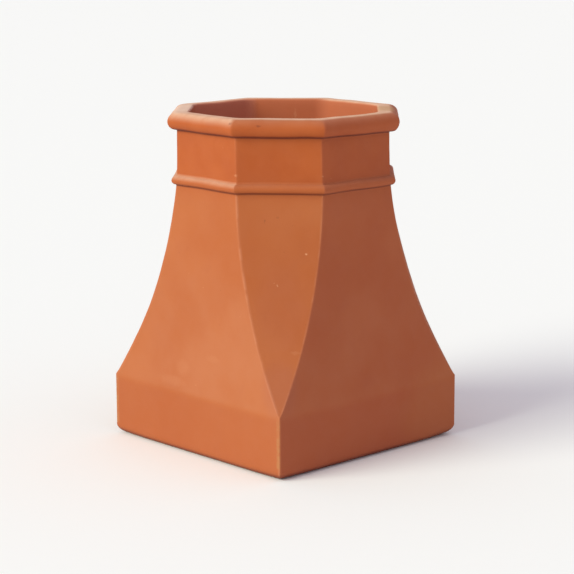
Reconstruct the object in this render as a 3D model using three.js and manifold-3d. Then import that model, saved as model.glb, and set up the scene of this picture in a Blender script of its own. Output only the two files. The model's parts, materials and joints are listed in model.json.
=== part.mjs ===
// A moulded terracotta chimney pot, square at the foot and eight-sided at the neck.
// Millimetres, +Z up, origin at the middle of the underside.
//
// The outside is a square tower trimmed by a second square tower that stands an eighth of a turn round.
// On the plinth the second tower only takes the sharp edge off the four corners. Above the plinth it
// sweeps in faster than the first, so each corner opens into a tongue: a point on the plinth's corner,
// and as broad as the other four sides by the time it reaches the bead. The bead and the rim are part
// of both towers, so they run round all eight sides with mitred corners.
// Two slimmer towers of the same kind hollow the pot out from end to end.
//
// A tower's reach is the distance from the pot's axis to one of its flat sides.

import * as THREE from 'three';
import { mergeVertices } from 'three/addons/utils/BufferGeometryUtils.js';
import Module from 'manifold-3d';

const wasm = await Module();
wasm.setup();

// Heights
const potHeight = 622;
const plinthHeight = 114;
const beadRadius = 10;
const friezeHeight = 80;
const rimRadius = 16.5;

// Widths across opposite sides
const plinthSide = 457;
const neckAcrossFaces = 383;
const neckAcrossTongues = 389;

// How far the neck leans in on each side between bead and rim, and the small step of the body under the bead
const neckDraft = 1;
const bodyShoulder = 1.3;

// Clay thickness of the plinth and body, and of the neck's two kinds of side
const bodyWall = 24;
const neckWallAtFaces = 19;
const neckWallAtTongues = 22;

// The rounding of the foot, which always leaves a flat of the second width to bed the pot on
const footRounding = 15;
const leastBeddingFlat = 6;

// The flat worn on the plinth's upright edges, and the blunt corners of the hollow inside them
const uprightEdgeFlat = 2.5;
const hollowCornerFlat = 40;

// The sweep from plinth to bead is one free curve. Its middle control point stands at this share of the
// sweep's height, and this share of its narrowing is still left there, on the faces and on the tongues.
const sweepRise = 0.49;
const faceNarrowingLeft = 0.34;
const tongueNarrowingLeft = 0.15;

// How finely the curves are divided
const footSteps = 5;
const sweepSteps = 18;
const beadSteps = 8;
const rimSteps = 10;

// Levels, from the top down
const rimFoot = potHeight - 2 * rimRadius;
const beadTop = rimFoot - friezeHeight;
const beadFoot = beadTop - 2 * beadRadius;

// The pot's two kinds of side
const face = {
  turn: Math.PI / 4,
  slope: 1,
  plinthReach: plinthSide / 2,
  trimmedReach: plinthSide / 2,
  hollowReach: plinthSide / 2 - bodyWall,
  neckReach: neckAcrossFaces / 2,
  neckWall: neckWallAtFaces,
  narrowingLeft: faceNarrowingLeft,
};
const tongue = {
  turn: 0,
  slope: Math.SQRT2,
  plinthReach: Math.SQRT2 * face.plinthReach,
  trimmedReach: Math.SQRT2 * face.plinthReach - uprightEdgeFlat / 2,
  hollowReach: Math.SQRT2 * face.hollowReach - hollowCornerFlat / 2,
  neckReach: neckAcrossTongues / 2,
  neckWall: neckWallAtTongues,
  narrowingLeft: tongueNarrowingLeft,
};

function sweep(lowReach, topReach, narrowingLeft) {
  const low = new THREE.Vector2(lowReach, plinthHeight);
  const middle = new THREE.Vector2(
    topReach + (lowReach - topReach) * narrowingLeft,
    plinthHeight + (beadFoot - plinthHeight) * sweepRise,
  );
  const top = new THREE.Vector2(topReach, beadFoot);
  return new THREE.QuadraticBezierCurve(low, middle, top).getPoints(sweepSteps);
}

function halfRound(reach, foot, radius, steps) {
  const arc = new THREE.EllipseCurve(reach, foot + radius, radius, radius, -Math.PI / 2, Math.PI / 2);
  return arc.getPoints(steps);
}

// The rounding of the foot is as deep on the corners as on the faces, and wider there, as a mitre is.
function footRound(side) {
  const depth = Math.min(footRounding, bodyWall - leastBeddingFlat);
  const width = depth * side.slope;
  const arc = new THREE.EllipseCurve(side.trimmedReach - width, depth, width, depth, -Math.PI / 2, 0);
  return arc.getPoints(footSteps);
}

function outsideProfile(side) {
  const bodySweep = sweep(side.plinthReach, side.neckReach + bodyShoulder, side.narrowingLeft);
  const rimReach = side.neckReach - neckDraft;
  return [
    new THREE.Vector2(0, 0),
    ...footRound(side),
    ...bodySweep.map((point) => new THREE.Vector2(Math.min(point.x, side.trimmedReach), point.y)),
    ...halfRound(side.neckReach, beadFoot, beadRadius, beadSteps).slice(1),
    ...halfRound(rimReach, rimFoot, rimRadius, rimSteps),
    new THREE.Vector2(0, potHeight),
  ];
}

// The hollow runs out past both ends of the pot, by the thickness of the body's wall.
function hollowProfile(side) {
  const flueReach = side.neckReach - neckDraft - side.neckWall;
  return [
    new THREE.Vector2(0, -bodyWall),
    new THREE.Vector2(side.hollowReach, -bodyWall),
    ...sweep(side.hollowReach, flueReach, side.narrowingLeft),
    new THREE.Vector2(flueReach, potHeight + bodyWall),
    new THREE.Vector2(0, potHeight + bodyWall),
  ];
}

// The lathe leaves flat, empty triangles where a profile meets the axis, and they are dropped here.
function closedSolid(geometry) {
  geometry.deleteAttribute('normal');
  geometry.deleteAttribute('uv');
  const merged = mergeVertices(geometry);
  const corners = Array.from(merged.index.array);
  const triangles = [];
  for (let first = 0; first < corners.length; first += 3) {
    const [a, b, c] = corners.slice(first, first + 3);
    if (a !== b && b !== c && c !== a) triangles.push(a, b, c);
  }
  return new wasm.Manifold(new wasm.Mesh({
    numProp: 3,
    vertProperties: Float32Array.from(merged.getAttribute('position').array),
    triVerts: Uint32Array.from(triangles),
  }));
}

// A lathe with four segments turns a profile into a tower of square section.
// The lathe works from the tower's edges, which stand farther out than its sides.
function tower(profile, turn) {
  const edge = profile.map((point) => new THREE.Vector2(point.x * Math.SQRT2, point.y));
  const geometry = new THREE.LatheGeometry(edge, 4, turn);
  geometry.rotateX(Math.PI / 2);
  return closedSolid(geometry);
}

function eightSided(profileOf) {
  return tower(profileOf(face), face.turn).intersect(tower(profileOf(tongue), tongue.turn));
}

function meshGeometry(solid) {
  const mesh = solid.getMesh();
  const geometry = new THREE.BufferGeometry();
  geometry.setAttribute('position', new THREE.BufferAttribute(mesh.vertProperties, 3));
  geometry.setIndex(new THREE.BufferAttribute(mesh.triVerts, 1));
  geometry.computeVertexNormals();
  return geometry;
}

const terracotta = new THREE.MeshStandardMaterial({
  color: 0xc9744a,
  roughness: 0.85,
  metalness: 0,
  flatShading: true,
});

const pot = eightSided(outsideProfile).subtract(eightSided(hollowProfile));
const potMesh = new THREE.Mesh(meshGeometry(pot), terracotta);
potMesh.name = 'chimney_pot';

const chimneyPot = new THREE.Group();
chimneyPot.add(potMesh);

export default chimneyPot;
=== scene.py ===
# %% [markdown]
# # A terracotta chimney pot
#
# The pot is one piece of fired clay, pressed into a plaster mould: a square plinth, a body that
# sweeps in to an eight-sided neck, a half-round bead, a plain neck band and a rolled rim, with a
# flue right through. The frame that is loaded first holds the true solid. What Blender adds is
# the skin that shows: softened edges, the small wobble of hand-pressed clay, and a surface that
# looks fired and weathered.

# %% Load the frame
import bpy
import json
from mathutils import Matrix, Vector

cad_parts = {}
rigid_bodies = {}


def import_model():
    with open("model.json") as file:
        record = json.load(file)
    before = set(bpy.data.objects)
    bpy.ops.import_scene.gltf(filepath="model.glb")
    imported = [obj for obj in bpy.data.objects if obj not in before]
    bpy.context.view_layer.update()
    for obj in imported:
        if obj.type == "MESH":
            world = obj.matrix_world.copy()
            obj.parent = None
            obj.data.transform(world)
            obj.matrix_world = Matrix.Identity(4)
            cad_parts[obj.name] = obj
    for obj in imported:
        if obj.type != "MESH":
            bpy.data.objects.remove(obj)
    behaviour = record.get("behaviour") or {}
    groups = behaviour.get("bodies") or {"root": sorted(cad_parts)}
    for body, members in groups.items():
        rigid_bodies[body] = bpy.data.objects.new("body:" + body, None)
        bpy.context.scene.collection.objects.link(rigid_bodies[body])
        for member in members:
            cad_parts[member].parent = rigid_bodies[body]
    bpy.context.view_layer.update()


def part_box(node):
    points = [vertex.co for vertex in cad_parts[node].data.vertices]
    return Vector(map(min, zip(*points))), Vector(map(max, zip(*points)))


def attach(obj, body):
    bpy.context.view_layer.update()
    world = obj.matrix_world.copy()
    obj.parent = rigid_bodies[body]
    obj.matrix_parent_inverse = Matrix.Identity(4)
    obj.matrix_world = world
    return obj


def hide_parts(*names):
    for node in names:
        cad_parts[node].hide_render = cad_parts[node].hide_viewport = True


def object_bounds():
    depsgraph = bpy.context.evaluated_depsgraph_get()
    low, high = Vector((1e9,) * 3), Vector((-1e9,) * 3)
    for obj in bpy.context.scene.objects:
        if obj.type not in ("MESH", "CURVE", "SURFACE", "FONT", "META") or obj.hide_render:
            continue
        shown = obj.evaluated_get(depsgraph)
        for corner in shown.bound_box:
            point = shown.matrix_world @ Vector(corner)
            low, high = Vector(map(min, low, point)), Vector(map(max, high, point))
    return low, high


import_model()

# %% Libraries and units
import json
import math

import bmesh
import bpy
import numpy as np
from mathutils import Euler, Matrix, Vector

MM = 0.001

# %% [markdown]
# ## The pot's sizes
#
# Every section of the pot has eight sides. Four are called faces, square over the plinth's sides,
# and four are called tongues, over its corners. A reach is the distance from the pot's axis to a
# side. One pair of reaches, for the faces and for the tongues, says all about a section, so the
# whole pot is drawn as a list of rings: a height and a pair of reaches.

# %% Sizes
high_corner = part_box("chimney_pot")[1]
pot_height = high_corner.z
half_plinth = high_corner.x

PLINTH_HEIGHT = 114 * MM
BEAD_RADIUS = 10 * MM
FRIEZE_HEIGHT = 80 * MM
RIM_RADIUS = 16.5 * MM
NECK = np.array([191.5, 194.5]) * MM
NECK_DRAFT = 1 * MM
BODY_SHOULDER = 1.3 * MM
FOOT_ROUNDING = 15 * MM
UPRIGHT_EDGE_FLAT = 2.5 * MM
BODY_WALL = 24 * MM
NECK_WALL = np.array([19, 22]) * MM
HOLLOW_CORNER_FLAT = 40 * MM
MOUTH_ROUNDING = 4 * MM

rim_foot = pot_height - 2 * RIM_RADIUS
bead_top = rim_foot - FRIEZE_HEIGHT
bead_foot = bead_top - 2 * BEAD_RADIUS
corner_share = np.array([1, math.sqrt(2)])
plinth = half_plinth * corner_share
trimmed_plinth = plinth - np.array([0, UPRIGHT_EDGE_FLAT / 2])
hollow_plinth = (half_plinth - BODY_WALL) * corner_share - np.array([0, HOLLOW_CORNER_FLAT / 2])
rim = NECK - NECK_DRAFT
flue = rim - NECK_WALL
heights = (PLINTH_HEIGHT, bead_foot, bead_top, rim_foot, pot_height)
print("plinth, bead, rim and top in mm:", [round(height / MM, 1) for height in heights])

# %% [markdown]
# ## Starting the skin with one ring
#
# A potter's mould gives the outside and fingers give the inside, but the skin of the model can be
# drawn in one go: a ring is pulled out of the ring before it, from under the foot, up the
# outside, over the rim and down the flue, as a lathe profile would run. Spinning a profile gives
# a square or a round pot, and this one changes from four sides to eight, so rings are extruded
# and resized one by one instead.

# %% The first ring, on the ground at the inner edge of the foot
bpy.ops.object.select_all(action="DESELECT")
bpy.ops.mesh.primitive_circle_add(
    vertices=8, radius=half_plinth, fill_type="NOTHING", rotation=(0, 0, math.pi / 8)
)
pot = bpy.context.active_object
pot.name = "terracotta_pot"
bpy.ops.object.transform_apply(location=True, rotation=True, scale=True)
bpy.ops.object.mode_set(mode="EDIT")
bpy.context.tool_settings.mesh_select_mode = (True, False, False)


def select_corners(corners):
    """Selects these corners of the mesh, and the edges between them, and nothing else."""
    bpy.ops.mesh.select_all(action="DESELECT")
    for corner in corners:
        corner.select = True
    mesh = bmesh.from_edit_mesh(pot.data)
    mesh.select_flush(True)


def shape_ring(reaches):
    """Resizes the selected ring, in two goes, until its sides stand at their reaches."""
    face_reach, tongue_reach = reaches
    half_face = math.sqrt(2) * tongue_reach - face_reach
    mesh = bmesh.from_edit_mesh(pot.data)
    ring = [corner for corner in mesh.verts if corner.select]
    for out, along in ((0, 1), (1, 0)):
        pair = [corner for corner in ring if abs(corner.co[out]) > abs(corner.co[along])]
        stretch = [1, 1, 1]
        stretch[out] = face_reach / abs(pair[0].co[out])
        stretch[along] = half_face / abs(pair[0].co[along])
        select_corners(pair)
        bpy.ops.transform.resize(value=stretch, center_override=(0, 0, pair[0].co.z))
    select_corners(ring)


rings = [(0.0, *hollow_plinth)]
shape_ring(hollow_plinth)
print("first ring at reaches in mm:", [round(reach / MM, 1) for reach in hollow_plinth])

# %% [markdown]
# ## The foot and the plinth
#
# The pot beds on a flat ring. The clay was rounded off under the plinth's edge before firing, and
# the rounding runs round the corners as a mitre does. It was cut with a wire and then wiped, so
# it is partly a flat. Each step is one extrude straight up and two resizes.

# %% Pull rings out of the open one


def raise_ring(height, reaches):
    """Extrudes the open ring to a height and shapes it."""
    rise = height - rings[-1][0]
    bpy.ops.mesh.extrude_region_move(TRANSFORM_OT_translate={"value": (0, 0, rise)})
    shape_ring(reaches)
    rings.append((height, *reaches))


foot_width = FOOT_ROUNDING * corner_share
bed_edge = trimmed_plinth - foot_width
for share in (0.5, 1.0):
    raise_ring(0.0, hollow_plinth + (bed_edge - hollow_plinth) * share)

FOOT_STEPS = 6
FLATNESS = 0.15
for step in range(1, FOOT_STEPS + 1):
    share = step / FOOT_STEPS
    rise = (1 - FLATNESS) * (1 - math.cos(share * math.pi / 2)) + FLATNESS * share
    spread = (1 - FLATNESS) * math.sin(share * math.pi / 2) + FLATNESS * share
    raise_ring(FOOT_ROUNDING * rise, bed_edge + foot_width * spread)
bed_width = bed_edge[0] - hollow_plinth[0]
print("foot:", len(rings), "rings, with a bed", round(bed_width / MM, 1), "mm wide")

# %% [markdown]
# ## The sweep
#
# From the plinth to the bead the sides follow one free curve each. The faces lean in only a
# little, and the tongues sweep in faster, so a tongue starts as a point on the plinth's corner
# and widens all the way up. Where plinth meets body, the break is crisp at the tongues' tips. On
# the faces a thumb or a wet sponge has softened it, so there the two straight lines are blended
# over a centimetre or two. The lower end of each tongue was smoothed with a thumb too, and is
# dished by a millimetre, which rounds its point.

# %% Plinth, soft break and sweep
SWEEP_RISE = 0.49
NARROWING_LEFT = np.array([0.34, 0.15])
SOFT_BREAK = 8 * MM
DISHED = 1.2 * MM
DISH_LEVELS = [0, 10, 110, 220]  # millimetres above a tip: it starts, is full, lets go, has gone
body_top = NECK + BODY_SHOULDER
sweep_rise = bead_foot - PLINTH_HEIGHT


def bezier(start, middle, end, share):
    """A point on a curve that leaves start towards middle and arrives at end."""
    return (1 - share) ** 2 * start + 2 * share * (1 - share) * middle + share**2 * end


def sweep_point(low, top, share):
    """The height and the reaches of the sweep at a share of its length."""
    height = PLINTH_HEIGHT + sweep_rise * bezier(0, SWEEP_RISE, 1, share)
    return height, bezier(low, top + (low - top) * NARROWING_LEFT, top, share)


early_height, early_reaches = sweep_point(plinth, body_top, 0.02)
first_lean = (plinth[0] - early_reaches[0]) / (early_height - PLINTH_HEIGHT)


def outside_reaches(height):
    """The reaches of plinth or body at a height, with a soft break between them on the faces."""
    above_plinth = max(0.0, height - PLINTH_HEIGHT)
    share = above_plinth / sweep_rise
    for _ in range(4):  # each try comes closer to the share of the curve that has this height
        miss = sweep_point(plinth, body_top, share)[0] - PLINTH_HEIGHT - above_plinth
        share -= miss / sweep_rise
    reaches = sweep_point(plinth, body_top, share)[1]
    into_break = height - PLINTH_HEIGHT + SOFT_BREAK
    if 0 < into_break < 2 * SOFT_BREAK:
        reaches[0] += first_lean * (above_plinth - into_break**2 / (4 * SOFT_BREAK))
    reaches[1] -= DISHED * np.interp(above_plinth / MM, DISH_LEVELS, [0, 1, 1, 0])
    return np.minimum(reaches, trimmed_plinth)


def climb(top, spacing):
    """Raises evenly spaced rings up to a height."""
    start = rings[-1][0]
    steps = round((top - start) / spacing)
    for step in range(1, steps + 1):
        height = start + (top - start) * step / steps
        raise_ring(height, outside_reaches(height))


for top, spacing in (
    (PLINTH_HEIGHT - SOFT_BREAK, 4.7 * MM),
    (PLINTH_HEIGHT + 2 * SOFT_BREAK, 2.4 * MM),
    (bead_foot, 3.9 * MM),
):
    climb(top, spacing)
print("plinth and body:", len(rings), "rings")

# %% [markdown]
# ## Bead, neck band and rim
#
# The bead and the rim are half-round rolls, run along the mould with a template. They stand out
# square from the neck, so their undersides catch a hard dark line, which is what reads from a
# distance. The bead has slumped a little and is lower than half round. A roll is a row of rings
# whose height and reach follow a half circle.

# %% Bead, band and rim


def roll(reaches, foot, radius, squash, steps):
    """Raises rings round a moulding that stands on the neck, half round or a little squashed."""
    for step in range(1, steps + 1):
        angle = step / steps * math.pi
        rise = squash * radius * (1 - math.cos(angle))
        raise_ring(foot + rise, reaches + radius * math.sin(angle))


BEAD_SQUASH = 0.88
BEAD_STEPS = 12
BAND_STEPS = 20
RIM_STEPS = 16
roll(NECK, bead_foot, BEAD_RADIUS, BEAD_SQUASH, BEAD_STEPS)
band_foot = rings[-1][0]
for step in range(1, BAND_STEPS + 1):
    share = step / BAND_STEPS
    raise_ring(band_foot + (rim_foot - band_foot) * share, NECK - NECK_DRAFT * share)
roll(rim, rim_foot, RIM_RADIUS, 1, RIM_STEPS)
outer_rings = len(rings)
print("bead, band and rim:", outer_rings, "rings")

# %% [markdown]
# ## Worn edges on the outside, round corners inside
#
# The eight upright edges that run from ring to ring are called rails here. Outside, they are the
# mould's own sharp edges, worn by a millimetre or two, and less on the plinth, where two of them
# run close together up to a tongue's tip. Inside, clay was pressed in by hand, so the corners are
# round. One bevel does all of it if its width is weighted, so the outside rails get their share
# now, while nothing else is there to select.

# %% Weight the outside rails
WORN_EDGE = 1.5 * MM
TIP_EDGE = 0.6 * MM
INNER_CORNER = 15 * MM


def eighth(corner):
    """Says which eighth of the section a corner lies in."""
    return corner.x > 0, corner.y > 0, abs(corner.x) > abs(corner.y)


def select_edges(wanted):
    """Selects the edges that a test names, and nothing else, and counts them."""
    bpy.ops.mesh.select_all(action="DESELECT")
    mesh = bmesh.from_edit_mesh(pot.data)
    chosen = [edge for edge in mesh.edges if wanted(edge)]
    for edge in chosen:
        edge.select = True
    mesh.select_flush_mode()
    return len(chosen)


def is_rail(edge):
    """Tells a rail from a rung, because only a rail stays in one eighth."""
    return eighth(edge.verts[0].co) == eighth(edge.verts[1].co)


def low_end(edge):
    """The height of an edge's lower end, since it is chance which end comes first."""
    return min(corner.co.z for corner in edge.verts)


open_ring = [corner.index for corner in bmesh.from_edit_mesh(pot.data).verts if corner.select]
bpy.context.tool_settings.mesh_select_mode = (False, True, False)
TIP_ZONE = PLINTH_HEIGHT + 25 * MM
upper_rails = select_edges(lambda edge: is_rail(edge) and low_end(edge) > TIP_ZONE)
bpy.ops.transform.edge_bevelweight(value=WORN_EDGE / INNER_CORNER)
plinth_rails = select_edges(lambda edge: is_rail(edge) and low_end(edge) <= TIP_ZONE)
bpy.ops.transform.edge_bevelweight(value=TIP_EDGE / INNER_CORNER)
print("rails outside:", upper_rails, "above the tips and", plinth_rails, "below")

# %% [markdown]
# ## Down the flue
#
# The rim is flat on top and its inner edge was wiped round with a finger. From there the wall
# runs straight down the neck, and widens with the body so that the clay keeps one thickness. The
# last ring is bridged to the first one under the foot, which closes the skin.

# %% Mouth, flue and the hollow of the body
bpy.context.tool_settings.mesh_select_mode = (True, False, False)
mesh = bmesh.from_edit_mesh(pot.data)
mesh.verts.ensure_lookup_table()
select_corners([mesh.verts[index] for index in open_ring])

TOP_STEPS = 4
MOUTH_STEPS = 4
FLUE_STEPS = 15
HOLLOW_STEPS = 30
FOOT_HOLLOW_STEPS = 6
mouth_edge = flue + MOUTH_ROUNDING
for step in range(1, TOP_STEPS + 1):
    raise_ring(pot_height, rim + (mouth_edge - rim) * step / TOP_STEPS)
for step in range(1, MOUTH_STEPS + 1):
    angle = step / MOUTH_STEPS * math.pi / 2
    drop = MOUTH_ROUNDING * (1 - math.cos(angle))
    raise_ring(pot_height - drop, mouth_edge - MOUTH_ROUNDING * math.sin(angle))
flue_top = rings[-1][0]
for step in range(1, FLUE_STEPS + 1):
    raise_ring(flue_top + (bead_foot - flue_top) * step / FLUE_STEPS, flue)
for step in range(1, HOLLOW_STEPS + 1):
    raise_ring(*sweep_point(hollow_plinth, flue, 1 - step / HOLLOW_STEPS))
for step in range(1, FOOT_HOLLOW_STEPS):
    raise_ring(PLINTH_HEIGHT * (1 - step / FOOT_HOLLOW_STEPS), hollow_plinth)
bpy.ops.mesh.select_all(action="DESELECT")
bpy.ops.mesh.select_non_manifold()
bpy.ops.mesh.bridge_edge_loops()
print("all round:", len(rings), "rings")

# %% [markdown]
# ## One bevel for every corner
#
# Only the inside rails have no weight yet, so they are easy to find. They get the full width of
# the bevel, and the outside rails keep their small share of it. The skin is closed now, so its
# normals are made to point outwards before the bevel is applied.

# %% Weight the inside rails and bevel them all
CORNER_SEGMENTS = 4
bpy.context.tool_settings.mesh_select_mode = (False, True, False)
mesh = bmesh.from_edit_mesh(pot.data)
weight = mesh.edges.layers.float["bevel_weight_edge"]
inside_rails = select_edges(lambda edge: is_rail(edge) and edge[weight] == 0)
bpy.ops.transform.edge_bevelweight(value=1)
bpy.ops.mesh.select_all(action="SELECT")
bpy.ops.mesh.normals_make_consistent(inside=False)
bpy.ops.object.mode_set(mode="OBJECT")

# it is chance which end of an edge comes first, and the bevel goes by it, so the ends are sorted
ends = np.empty(2 * len(pot.data.edges), dtype=np.int32)
pot.data.edges.foreach_get("vertices", ends)
pot.data.edges.foreach_set("vertices", np.sort(ends.reshape(-1, 2)).ravel())

bevel = pot.modifiers.new("worn and rounded corners", "BEVEL")
bevel.limit_method = "WEIGHT"
bevel.width = INNER_CORNER
bevel.segments = CORNER_SEGMENTS
bpy.ops.object.modifier_apply(modifier=bevel.name)
print("rails inside:", inside_rails, "and after the bevel", len(pot.data.polygons), "faces")

# %% [markdown]
# ## Enough skin to dent
#
# So far a face is one long strip. Its rungs are cut into columns, so that the surface can wobble.
# Cuts are only made across the strips, because the rings are close enough already.

# %% Cut the strips into columns
FACE_COLUMNS = 54
TONGUE_COLUMNS = 30


def spans_face(edge):
    """Tells whether a rung runs across a face, from one quarter of the section to the next."""
    start, end = (corner.co for corner in edge.verts)
    return start.x * end.x < 0 or start.y * end.y < 0


def spans_tongue(edge):
    """Tells whether a rung runs across a tongue, over a diagonal of the section."""
    start, end = (corner.co for corner in edge.verts)
    turned = (abs(start.x) > abs(start.y)) != (abs(end.x) > abs(end.y))
    return turned and not spans_face(edge)


bpy.ops.object.mode_set(mode="EDIT")
for spans, columns in ((spans_face, FACE_COLUMNS), (spans_tongue, TONGUE_COLUMNS)):
    rungs = select_edges(spans)
    bpy.ops.mesh.subdivide(number_cuts=columns - 1, smoothness=0, quadcorner="STRAIGHT_CUT")
    print("rungs cut:", rungs, "into", columns)
bpy.ops.object.mode_set(mode="OBJECT")
triangles = sum(len(polygon.vertices) - 2 for polygon in pot.data.polygons)
print("skin:", triangles, "triangles")

# %% [markdown]
# ## Where things are on the pot
#
# Wear, painted light and painted shade follow the pot's own lines. So each point of the skin is
# told how far it is from an upright edge, how high it stands before any wobble, whether it faces
# the sky or the lit side, whether it is inside, and whether it is on the shaded side, +X, away from
# the light. These are stored as attributes, and the material turns them into lines, marks, painted
# highlights and painted shade.
# A plain distance or height stays exact between the points, which a ready-made stain would not.

# %% Distances and masks
place = np.empty(len(pot.data.vertices) * 3)
pot.data.vertices.foreach_get("co", place)
place = place.reshape(-1, 3)
normals = np.empty(len(pot.data.vertices) * 3)
pot.data.vertices.foreach_get("normal", normals)
normals = normals.reshape(-1, 3)
wide = np.abs(place[:, :2])
reach_now = np.stack([wide.max(1), wide.sum(1) / math.sqrt(2)], 1)

NEAR_SKIN = 0.4 * NECK_WALL[0]
FAR_AWAY = 1.0
outer = np.array(rings[2:outer_rings])
reach_there = np.stack([np.interp(place[:, 2], outer[:, 0], outer[:, side]) for side in (1, 2)], 1)
depth = reach_there - reach_now
outside = depth.min(1) < NEAR_SKIN
skyward = np.where(place[:, 2] > bead_foot, np.maximum(normals[:, 2], 0), 0)
facing_x = normals[:, 0] / np.maximum(np.hypot(normals[:, 0], normals[:, 1]), 0.01)
# the lit side: the light falls from -Y and a little from -X, and the shaded +X side gets a fifth of
# it
lit_side = np.clip(1 - 1.3 * facing_x, 0.2, 1)
# below the bead's top it is three quarters, which weakens the painted highlight on the bead, and on
# the rim's flat top the painted highlight is the same all round
lit_side *= np.where(place[:, 2] < bead_top, 0.75, 1)
nearly_level = skyward**40
rim_top = np.where(place[:, 2] > rim_foot, nearly_level, 0)


def store(name, values):
    """Keeps one number for each point of the skin, for the material to read."""
    attribute = pot.data.attributes.new(name, "FLOAT", "POINT")
    attribute.data.foreach_set("value", values.astype(np.float32))


store("edge_distance", np.where(outside, math.sqrt(2) * depth.max(1), FAR_AWAY))
store("level", place[:, 2])
# a mask for a painted highlight and sheen: upward faces on the lit side, and the rim's flat top all
# round
store("skyward", np.maximum(skyward**1.6 * lit_side, rim_top))
on_face = outside & (depth[:, 0] < depth[:, 1])
# the bloom is fullest on the lit faces, as it is partly painted sheen
store("bloom", np.where(on_face, np.maximum(lit_side, 0.35), 0.0))
store("inside", np.where(outside, 0.0, 1.0))
# the side facing +X is the shaded side, away from the light
# this leaves out the tongues, whose share of +X is 0.71
store("shaded_side", np.clip((facing_x - 0.75) / 0.2, 0.0, 1.0))
print("outside points:", int(outside.sum()), "of", len(outside))

# %% [markdown]
# ## The wobble of pressed clay
#
# Clay shrinks by a tenth as it dries and fires, never quite evenly. Faces go a millimetre or two
# hollow, and the long lines of the bead and rim wander. Displace modifiers with a cloud texture
# do this well, because the cloud is smooth at the size that is set. The plinth and the top of the
# rim are where the pot touches its true box, so there they hardly move and only go inwards, and
# the bed is left alone. A vertex group says how much each modifier may move a point.

# %% Masks and helpers for the wobble
def ramp(low, high):
    """Nought below one height, one above another, straight between."""
    return np.clip((place[:, 2] - low) / (high - low), 0, 1)


def paint_group(name, weights):
    """Paints a vertex group, for a modifier to read."""
    group = pot.vertex_groups.new(name=name)
    for index in np.flatnonzero(weights > 0.01):
        group.add([int(index)], float(min(1, weights[index])), "REPLACE")
    return group.name


def displace(name, direction, strength, group, middle=0.0, size=None, depth=0):
    """Moves the skin evenly, or by a cloud of a real size whose middle value moves nothing."""
    push = pot.modifiers.new(name, "DISPLACE")
    push.direction = direction
    push.strength = strength
    push.vertex_group = group
    push.mid_level = middle
    if size:
        push.texture = bpy.data.textures.new(name, "CLOUDS")
        push.texture.noise_scale = size
        push.texture.noise_depth = depth
        push.texture_coords = "LOCAL"
    bpy.ops.object.modifier_apply(modifier=push.name)


near_top = ramp(pot_height - 12 * MM, pot_height)
body_mask = ramp(PLINTH_HEIGHT + 10 * MM, PLINTH_HEIGHT + 80 * MM) * (1 - near_top)
above_bed = ramp(1 * MM, 12 * MM)
plinth_mask = above_bed * (1 - ramp(PLINTH_HEIGHT - 14 * MM, PLINTH_HEIGHT + 46 * MM))
rim_mask = ramp(rim_foot + 10 * MM, pot_height - 6 * MM)
rolls_mask = ramp(bead_foot - 30 * MM, bead_foot + 10 * MM) * (1 - rim_mask)
print("points that may wobble:", [int((mask > 0).sum()) for mask in (body_mask, plinth_mask)])

# %% [markdown]
# ## Lifted corners, wobble, and a neck that turned
#
# A slab of clay dries fastest at its corners, and they curl up, so the four corners of the foot
# lift a little, the one at +X +Y most. On that side the rim got more clay too: it is a little
# fuller, and its underside sags. In the kiln the neck has turned by a degree or so against the
# plinth, only on the side between +X and -Y. A twist does that, weighted by how high and how far
# round a point is.

# %% Lift, wobble and turn
CORNER_LIFT = 5 * MM
RIM_SWELL = 1.8 * MM
RIM_SAG = -3.6 * MM
NECK_TURN = math.radians(-1.75)
LIFT_FROM = 250 * MM  # how far from the axis, towards a corner, the foot starts to lift

to_corner = np.clip((reach_now[:, 1] - LIFT_FROM) / (trimmed_plinth[1] - LIFT_FROM), 0, 1) ** 2
most_lifted = np.where((place[:, 0] > 0) & (place[:, 1] > 0), 1.0, 0.45)
low_down = (1 - ramp(5 * MM, 70 * MM)) * outside
corners = paint_group("corners", to_corner * most_lifted * low_down)
displace("corners lifted in drying", "Z", CORNER_LIFT, corners)

body = paint_group("body", body_mask)
foot = paint_group("plinth", plinth_mask)
rolls = paint_group("rolls", rolls_mask)
top = paint_group("rim", rim_mask)
displace("uneven shrinkage", "NORMAL", 2.4 * MM, body, middle=0.45, size=150 * MM)
displace("flat of the plinth", "NORMAL", 0.6 * MM, foot, middle=0.9, size=120 * MM)
displace("wandering lines", "Z", 2 * MM, rolls, middle=0.45, size=60 * MM)
displace("wandering rim", "Z", 1.5 * MM, top, middle=0.97, size=60 * MM)
displace("fingers and sponge", "NORMAL", 0.5 * MM, body, middle=0.6, size=20 * MM, depth=1)

SIDE = 45  # degrees round the axis that each of the eight sides takes up
FULL_AT, TURNED_AT = 45, -43.3  # degrees round from +X, towards +Y
way_round = np.degrees(np.arctan2(place[:, 1], place[:, 0]))
full_side = np.clip(1.5 - np.abs(way_round - FULL_AT) / SIDE, 0, 1) * outside
full = ramp(rim_foot, rim_foot + 3 * MM) * (1 - near_top)
sagging = ramp(rim_foot - 14 * MM, rim_foot) * (1 - ramp(rim_foot, rim_foot + 14 * MM))
displace("fuller rim", "NORMAL", RIM_SWELL, paint_group("full", full * full_side))
displace("sagging rim", "Z", RIM_SAG, paint_group("sagging", sagging * full_side))

turned_side = np.clip(np.cos(np.radians(way_round - TURNED_AT)), 0, 1) ** 2
twist = pot.modifiers.new("neck turned in the kiln", "SIMPLE_DEFORM")
twist.deform_method = "TWIST"
twist.deform_axis = "Z"
twist.angle = NECK_TURN
twist.vertex_group = paint_group("turned", turned_side * ramp(PLINTH_HEIGHT, pot_height))
bpy.ops.object.modifier_apply(modifier=twist.name)
bpy.ops.object.shade_smooth()
for cloud in list(bpy.data.textures):
    bpy.data.textures.remove(cloud)
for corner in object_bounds():
    print("box after the wobble, in mm:", [round(value / MM, 2) for value in corner])

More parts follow.
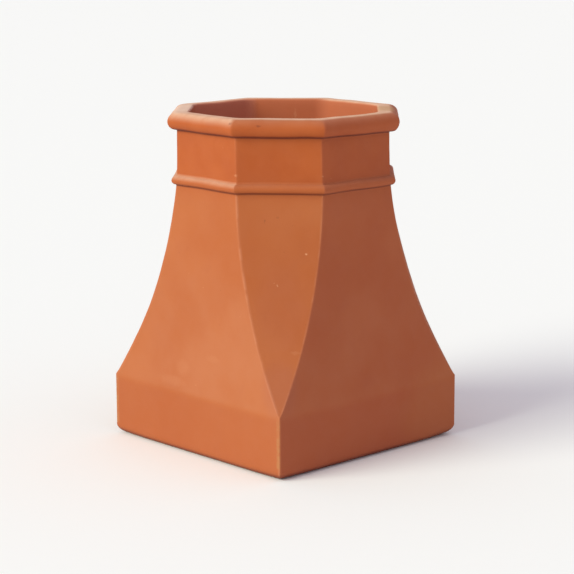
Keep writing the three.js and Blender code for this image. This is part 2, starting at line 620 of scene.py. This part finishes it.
# %% [markdown]
# ## Terracotta
#
# Terracotta is low-fired, iron-rich clay with fine grog in it, pressed into a mould and left
# unglazed. It is fully matt, with an IOR near 1.5, and the eye reads it by slow changes of
# colour: redder and deeper where it was hotter, paler where salts and lime have bloomed or where
# an edge has rubbed. Its grain is under half a millimetre, too fine for this view, so it is drawn
# near two millimetres and kept faint. A picture of real clay would do too, but it repeats and
# carries its own light. So the clay is built up in layers of colour, each over the ones before
# it, with masks of a real size that say where it lies.

# %% Colours, and one helper for nodes
# a Mix node has sockets for every kind of data, and these are the places of its colour sockets
COLOUR_A, COLOUR_B, COLOUR_OUT = 6, 7, 2


def srgb(hex_colour):
    """A colour picked on a screen, turned into the linear light that shaders use."""
    channels = [int(hex_colour[start : start + 2], 16) / 255 for start in (1, 3, 5)]
    linear = [c / 12.92 if c <= 0.04045 else ((c + 0.055) / 1.055) ** 2.4 for c in channels]
    return (*linear, 1.0)


def add_node(tree, kind, settings=None, inputs=None):
    """Adds a node with its settings, and feeds its inputs with values or other nodes' outputs."""
    node = tree.nodes.new(kind)
    for name, value in (settings or {}).items():
        setattr(node, name, value)
    for socket, value in (inputs or {}).items():
        if isinstance(value, bpy.types.NodeSocket):
            tree.links.new(value, node.inputs[socket])
        else:
            node.inputs[socket].default_value = value
    return node


print("the middle of the clay's colour in linear light:", [round(v, 3) for v in srgb("#ae5e2f")])

# %% [markdown]
# ## Masks and layers
#
# A painter would lay thin coats over each other, each one masked. The same is done here. A mask
# is either a patchy cloud of a real size, or it follows a number that was stored on the skin. A
# layer is one colour laid over what is there, as far as all its masks let it.

# %% Start the material, with masks and layers
SMOOTH = {"interpolation_type": "SMOOTHSTEP"}
terracotta = bpy.data.materials.new("weathered_terracotta")
terracotta.use_nodes = True
tree = terracotta.node_tree
shader = tree.nodes["Principled BSDF"]
where = add_node(tree, "ShaderNodeTexCoord").outputs["Object"]


def patches(size, low, high, detail=3, least=0.0, most=1.0):
    """Patches of a real size in metres, with a soft edge where a cloud passes from low to high."""
    inputs = {"Vector": where, "Scale": 1 / size, "Detail": detail, "Roughness": 0.55}
    cloud = add_node(tree, "ShaderNodeTexNoise", {}, inputs).outputs["Fac"]
    inputs = {"Value": cloud, "From Min": low, "From Max": high, "To Min": least, "To Max": most}
    return add_node(tree, "ShaderNodeMapRange", SMOOTH, inputs).outputs[0]


def follow(name, start, end, at_start=0.0, at_end=1.0):
    """An amount that follows a number stored on the skin, smoothly from one value to another."""
    number = add_node(tree, "ShaderNodeAttribute", {"attribute_name": name}).outputs["Fac"]
    inputs = {"Value": number, "From Min": start, "From Max": end}
    inputs |= {"To Min": at_start, "To Max": at_end}
    return add_node(tree, "ShaderNodeMapRange", SMOOTH, inputs).outputs[0]


def lay(under, over, amount, *masks):
    """Lays one colour over another, by an amount, as far as every mask lets it."""
    for mask in masks:
        inputs = {0: amount, 1: mask}
        amount = add_node(tree, "ShaderNodeMath", {"operation": "MULTIPLY"}, inputs).outputs[0]
    inputs = {0: amount, COLOUR_A: under, COLOUR_B: over}
    return add_node(tree, "ShaderNodeMix", {"data_type": "RGBA"}, inputs).outputs[COLOUR_OUT]


stored = {}
for name in ("skyward", "bloom", "inside", "shaded_side"):
    stored[name] = add_node(tree, "ShaderNodeAttribute", {"attribute_name": name}).outputs["Fac"]
outdoors = follow("inside", 0, 1, 1, 0)
print("masks that every layer can use:", list(stored))

# %% [markdown]
# ## The colour of the fire
#
# One firing never gives one colour. The body changes slowly over a hand's width, the neck is
# deeper, and the plinth is a little redder. The shaded +X side is laid a cooler, deeper red, which
# is painted shade.

# %% The fired clay: body, neck and plinth, with painted shade on the +X side
clay = lay(srgb("#a95727"), srgb("#ae5e2f"), 1, patches(210 * MM, 0.35, 0.65, detail=2))
clay = lay(clay, srgb("#a3532b"), 0.25, patches(40 * MM, 0.5, 0.8, detail=5))
neck_clay = lay(srgb("#a84f1c"), srgb("#ad5420"), 1, patches(70 * MM, 0.35, 0.65))
clay = lay(clay, neck_clay, 1, follow("level", bead_foot - 29 * MM, bead_foot + 41 * MM))
on_plinth = follow("level", PLINTH_HEIGHT - 12 * MM, PLINTH_HEIGHT + 4 * MM, 1, 0)
clay = lay(clay, srgb("#a5532a"), 0.5, on_plinth)
up_the_neck = follow("level", bead_foot - 19 * MM, bead_foot + 11 * MM)
# painted shade: a cooler, deeper red on the +X side, where shade falls
shade_tint_clay = lay(srgb("#a63249"), srgb("#aa5a56"), 1, up_the_neck)
clay = lay(clay, shade_tint_clay, 0.12, stored["shaded_side"], outdoors)
print("fired clay:", len(tree.nodes), "nodes")

# %% [markdown]
# ## Bloom and the inside
#
# Salts come out of the clay as a pale bloom, mostly low on the body and towards one corner. It is
# laid fullest on the lit faces, so it is partly real bloom and partly painted sheen.
# Inside, the pot is painted paler all over, a painted light that lifts the shade there, most of all
# on the inner walls that face +X.

# %% Bloom and the inside
along_x = add_node(tree, "ShaderNodeSeparateXYZ", inputs={0: where}).outputs[0]
inputs = {"Value": along_x, "From Min": -190 * MM, "From Max": -40 * MM, "To Min": 0.5}
towards_corner = add_node(tree, "ShaderNodeMapRange", SMOOTH, inputs).outputs[0]
above_plinth = follow("level", PLINTH_HEIGHT - 6 * MM, PLINTH_HEIGHT + 8 * MM)
bloom_band = (above_plinth, follow("level", 200 * MM, 450 * MM, 1, 0), towards_corner)
bloom_patches = patches(100 * MM, 0.30, 0.62, detail=4, least=0.45)
# pale bloom, partly real salt bloom and partly painted sheen on the lit faces
clay = lay(clay, srgb("#b47352"), 0.36, stored["bloom"], bloom_patches, *bloom_band)
# painted light: the inside is laid paler, and more on the inner walls that face +X
clay = lay(clay, srgb("#c06c4a"), 0.65, stored["inside"])
clay = lay(clay, srgb("#d3836a"), 0.6, stored["inside"], stored["shaded_side"])
print("with bloom:", len(tree.nodes), "nodes")

# %% [markdown]
# ## Rubbed edges
#
# Handling rubs every upright edge to a faint, broken, pale line, which is partly a painted edge
# highlight. The plinth's corners were knocked and dragged, so there it is a ragged band. There is
# less of both on the rolls and on the shaded +X side.

# %% Rubbed edges
along_edge = follow("edge_distance", 0.5 * MM, 5 * MM, 1, 0)
less_on_bead = follow("level", bead_foot - 6 * MM, bead_foot, 1, 0.3)
less_on_rim = follow("level", rim_foot - 3 * MM, rim_foot + 2 * MM, 1, 0.2)
less_where_shaded = follow("shaded_side", 0, 1, 1, 0.3)
here_and_there = patches(30 * MM, 0.4, 0.6, detail=4, least=0.1, most=0.34)
less = (less_on_bead, less_on_rim, less_where_shaded, here_and_there)
# the pale edge line is partly rubbed wear and partly painted highlight, kept faint where shade
# falls
clay = lay(clay, srgb("#c48262"), 1, along_edge, *less)

corner_band = follow("edge_distance", 4 * MM, 9 * MM, 1, 0)
below_tip = follow("level", PLINTH_HEIGHT - 9 * MM, PLINTH_HEIGHT + 4 * MM, 1, 0)
above_foot = follow("level", 16 * MM, 24 * MM)
away_from_shade = follow("shaded_side", 0, 1, 1, 0)
ragged_band = patches(12 * MM, 0.42, 0.6, detail=4, least=0.2, most=0.55)
clay = lay(clay, srgb("#ac7748"), 1, corner_band, below_tip, above_foot, away_from_shade, ragged_band)
print("with rubbed edges:", len(tree.nodes), "nodes")

# %% [markdown]
# ## Painted highlights on tops, painted shade in creases
#
# What faces up on the lit side, and all of the rim's flat top, is painted paler: a painted
# highlight
# and sheen. The creases under the rim and under the bead, and the foot's rounding, are painted
# dark:
# painted shade. Each dark band comes up from below over a short height and fades above it.

# %% Painted highlights on tops, painted shade in creases
CREASE_SHADE_COLOUR = srgb("#642415")
sheen_patches = patches(20 * MM, 0.35, 0.6, detail=4, least=0.8)
# painted highlight and sheen, broken up by patches
clay = lay(clay, srgb("#dcb092"), 1, stored["skyward"], sheen_patches)
# millimetres from each crease: the painted shade starts, is full, starts to fade, has gone
CREASE_SHADE_BANDS = [
    (rim_foot, (-3.2, 0, 1.5, 5.5), 0.85),
    (bead_foot, (-2.5, -0.5, 0.7, 4), 0.64),
    (0, (-9, -8, 4, 12), 0.64),
]
# painted shade: dark bands under the rim, under the bead and on the foot's rounding
for crease, (start, full, fade, gone), amount in CREASE_SHADE_BANDS:
    rising = follow("level", crease + start * MM, crease + full * MM)
    fading = follow("level", crease + fade * MM, crease + gone * MM, 1, 0)
    clay = lay(clay, CREASE_SHADE_COLOUR, amount, outdoors, rising, fading)
print("with stains:", len(tree.nodes), "nodes")

# %% [markdown]
# ## Specks of grog
#
# Grog is old fired clay, crushed and mixed in to make the pot dry evenly. It shows as small pale
# and dark specks. They come from a cell pattern, of which only a share of the cells has one.

# %% Specks of grog


def speckle(spacing, radius, share):
    """Two masks that make small round specks, of which only a share of the cells has one."""
    inputs = {"Vector": where, "Scale": 1 / spacing, "Randomness": 1.0}
    cells = add_node(tree, "ShaderNodeTexVoronoi", {"feature": "F1"}, inputs).outputs
    chance = add_node(tree, "ShaderNodeSeparateColor", inputs={0: cells["Color"]}).outputs[0]
    edge = radius / spacing
    spans = ((cells["Distance"], 0.4 * edge, edge), (chance, share - 0.01, share + 0.01))
    masks = []
    for value, start, end in spans:
        inputs = {"Value": value, "From Min": start, "From Max": end, "To Min": 1.0, "To Max": 0.0}
        masks.append(add_node(tree, "ShaderNodeMapRange", SMOOTH, inputs).outputs[0])
    return masks


clay = lay(clay, srgb("#d79a6c"), 0.4, *speckle(21 * MM, 1.1 * MM, 0.25))
clay = lay(clay, srgb("#6d3018"), 0.5, *speckle(17 * MM, 0.9 * MM, 0.3))
print("with specks:", len(tree.nodes), "nodes")

# %% [markdown]
# ## Nicks, rubs, and painted light on the rim's top
#
# This pot has a few marks that another would not: nicks, rubs, a seam inside, and on the rim's top
# a painted sheen at the lit -X -Y corner and painted yellowish highlights on the +X side. A mark is
# a ragged spot at a place in millimetres, with a size along each axis. It gets its tatters from a
# cloud that shifts the place where the spot is looked up.

# %% Nicks, rubs, and painted light on the rim's top
TATTER_SIZE = 7 * MM
TATTER_DEPTH = 9 * MM
inputs = {"Vector": where, "Scale": 1 / TATTER_SIZE, "Detail": 4.0}
tatter = add_node(tree, "ShaderNodeTexNoise", {}, inputs).outputs["Color"]
inputs = {0: tatter, 1: (0.5, 0.5, 0.5)}
tatter = add_node(tree, "ShaderNodeVectorMath", {"operation": "SUBTRACT"}, inputs).outputs[0]
inputs = {0: tatter, "Scale": TATTER_DEPTH}
tatter = add_node(tree, "ShaderNodeVectorMath", {"operation": "SCALE"}, inputs).outputs[0]
inputs = {0: where, 1: tatter}
ragged = add_node(tree, "ShaderNodeVectorMath", {"operation": "ADD"}, inputs).outputs[0]


def spot(centre, size):
    """A ragged spot of a size in millimetres, along each axis, round a point in millimetres."""
    far = ragged
    for operation, by in (("SUBTRACT", centre), ("DIVIDE", size)):
        inputs = {0: far, 1: Vector(by) * MM}
        far = add_node(tree, "ShaderNodeVectorMath", {"operation": operation}, inputs).outputs[0]
    far = add_node(tree, "ShaderNodeVectorMath", {"operation": "LENGTH"}, {0: far}).outputs["Value"]
    inputs = {"Value": far, "From Min": 0.4, "From Max": 1.0, "To Min": 1.0, "To Max": 0.0}
    return add_node(tree, "ShaderNodeMapRange", SMOOTH, inputs).outputs[0]


PALE, DARK = srgb("#e0a67c"), srgb("#5f2816")
PAINTED_SHEEN, PAINTED_TOP_LIGHT = srgb("#ecd0bd"), srgb("#ba8c5a")
ROSE, OCHRE = srgb("#a05a45"), srgb("#b36d3a")
# centre, size along each axis, colour and amount
MARKS = [
    ((182, -119, 385), (2.3, 2.3, 2.3), PALE, 0.6),
    ((137, -146, 449), (3, 3, 3), DARK, 0.2),
    ((122, -163, 442), (2.4, 2.4, 4), DARK, 0.4),
    ((156, -165, 332), (2.4, 2.4, 2.4), PALE, 0.45),
    ((208, -171, 219), (12, 12, 4), PALE, 0.07),
    ((-62, -226, 132), (46, 24, 12), PALE, 0.05),
    ((-37, -224, 160), (24, 24, 20), PALE, 0.05),
    ((44, -220, 188), (24, 24, 9), PALE, 0.035),
    ((228, 190, 60), (60, 150, 110), OCHRE, 0.22),
    ((180, -180, 310), (64, 64, 150), ROSE, 0.13),
    ((214, -214, 170), (48, 48, 80), ROSE, 0.28),
    ((78, -191, 522), (4, 4, 3), PALE, 0.5),
    ((188, -87, 521), (3, 3, 3), PALE, 0.45),
    ((121, -176, 611), (7, 7, 3), DARK, 0.45),
    ((79, -204, 615), (5, 7, 4), DARK, 0.4),
    ((-110, 133, 594), (4, 4, 16), PALE, 0.17),
    # painted sheen on the rim's lit -X -Y corner
    ((-150, -150, 622), (110, 110, 5), PAINTED_SHEEN, 0.5),
    # painted yellowish highlights on the +X side of the rim's top
    ((185, 20, 622), (60, 90, 5), PAINTED_TOP_LIGHT, 0.12),
    ((136, 128, 622), (62, 62, 6), PAINTED_TOP_LIGHT, 0.55),
]
for centre, size, colour, amount in MARKS:
    clay = lay(clay, colour, amount, spot(centre, size))
print("marks:", len(MARKS), "with", len(tree.nodes), "nodes so far")

# %% [markdown]
# ## Grain, gloss and bump
#
# The sandy grain darkens the clay a little and roughens it. Where the surface was wiped it is a
# touch smoother than elsewhere, so the roughness drifts in patches of a few centimetres.

# %% Grain, gloss and bump
GRAIN_SIZE = 2.2 * MM
clay = lay(clay, srgb("#8c4a2c"), 0.12, patches(GRAIN_SIZE, 0.62, 0.75, detail=2))
tree.links.new(clay, shader.inputs["Base Color"])
wiped = patches(30 * MM, 0.3, 0.7, detail=4, least=0.74, most=0.82)
tree.links.new(wiped, shader.inputs["Roughness"])
shader.inputs["IOR"].default_value = 1.5
shader.inputs["Specular IOR Level"].default_value = 0.4

inputs = {"Vector": where, "Scale": 1 / GRAIN_SIZE, "Detail": 2.0, "Roughness": 0.55}
grain = add_node(tree, "ShaderNodeTexNoise", {}, inputs).outputs["Fac"]
inputs = {"Height": grain, "Strength": 0.18, "Distance": 0.4 * MM}
bump = add_node(tree, "ShaderNodeBump", inputs=inputs).outputs[0]
tree.links.new(bump, shader.inputs["Normal"])
pot.data.materials.append(terracotta)
print("finished material:", len(tree.nodes), "nodes")

# %% [markdown]
# ## Telling the frame what this piece is
#
# The pot is one piece. It rides on the part's only body, stands in for its only solid, and wears
# its only material.

# %% The pot stands for the solid
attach(pot, "root")
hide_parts("chimney_pot")
print(pot.name, "stands for chimney_pot")

# %% [markdown]
# ## Studio
#
# The photograph's background was cut away to white. A pale matt floor that runs out of the
# picture gives the same clean surround, with a soft shadow under the pot. A curved paper sweep
# would do the same, but needs more room behind the pot from every side.

# %% Floor
FLOOR_SIZE = 120  # metres
bpy.ops.object.select_all(action="DESELECT")
bpy.ops.mesh.primitive_plane_add(size=FLOOR_SIZE, location=(0, 0, 0))
floor = bpy.context.active_object
floor.name = "studio_floor"
paper = bpy.data.materials.new("pale_matt_paper")
paper.use_nodes = True
paper_shader = paper.node_tree.nodes["Principled BSDF"]
paper_shader.inputs["Base Color"].default_value = srgb("#fafbf9")
paper_shader.inputs["Roughness"].default_value = 0.9
paper_shader.inputs["Specular IOR Level"].default_value = 0.1
floor.data.materials.append(paper)
print("floor:", FLOOR_SIZE, "m wide")

# %% [markdown]
# ## Light
#
# The photograph was taken in flat, soft light from the left. A broad sun stands in for a large
# soft box far away, because it lights the whole floor evenly, and a pale sky fills the shadows.

# %% Light
KEY_AZIMUTH = math.radians(-14)
KEY_ELEVATION = math.radians(27)
KEY_ANGLE = math.radians(40)
key_turn = (math.pi / 2 - KEY_ELEVATION, 0, KEY_AZIMUTH)
bpy.ops.object.light_add(type="SUN", location=(0, -3, 2), rotation=key_turn)
key = bpy.context.active_object
key.data.energy = 2.8
key.data.angle = KEY_ANGLE
key.data.color = (1.0, 1.05, 0.90)
world = bpy.data.worlds.new("studio")
bpy.context.scene.world = world
world.use_nodes = True
sky = world.node_tree.nodes["Background"]
sky.inputs["Color"].default_value = (1.0, 0.95, 1.06, 1.0)
sky.inputs["Strength"].default_value = 0.59
bpy.context.scene.view_settings.view_transform = "Standard"
print("sun:", key.data.energy, "sky:", sky.inputs["Strength"].default_value)

# %% [markdown]
# ## Camera
#
# The camera's place was worked out from the photograph's perspective. It looks at the pot corner
# first, from a little above, through a long lens.

# %% Camera
IMAGE_WIDTH = 574
CAMERA_AZIMUTH = math.radians(46.71)
CAMERA_ELEVATION = math.radians(11.29)
CAMERA_ROLL = math.radians(-0.163)
CAMERA_DISTANCE = 3.629
FOCAL_PIXELS = 1928.3
SHIFT_PIXELS = (2.2, 2.2)
aim = Vector((0, 0, 280 * MM))
level_turn = Euler((math.pi / 2 - CAMERA_ELEVATION, 0, CAMERA_AZIMUTH)).to_matrix()
back = level_turn @ Vector((0, 0, 1))
turn = level_turn @ Matrix.Rotation(CAMERA_ROLL, 3, "Z")
bpy.ops.object.camera_add(location=aim + back * CAMERA_DISTANCE, rotation=turn.to_euler())
camera = bpy.context.active_object
camera.data.sensor_width = 36
camera.data.lens = FOCAL_PIXELS * camera.data.sensor_width / IMAGE_WIDTH
camera.data.shift_x = SHIFT_PIXELS[0] / IMAGE_WIDTH
camera.data.shift_y = SHIFT_PIXELS[1] / IMAGE_WIDTH
bpy.context.scene.camera = camera
print("camera at", [round(value, 3) for value in camera.location])
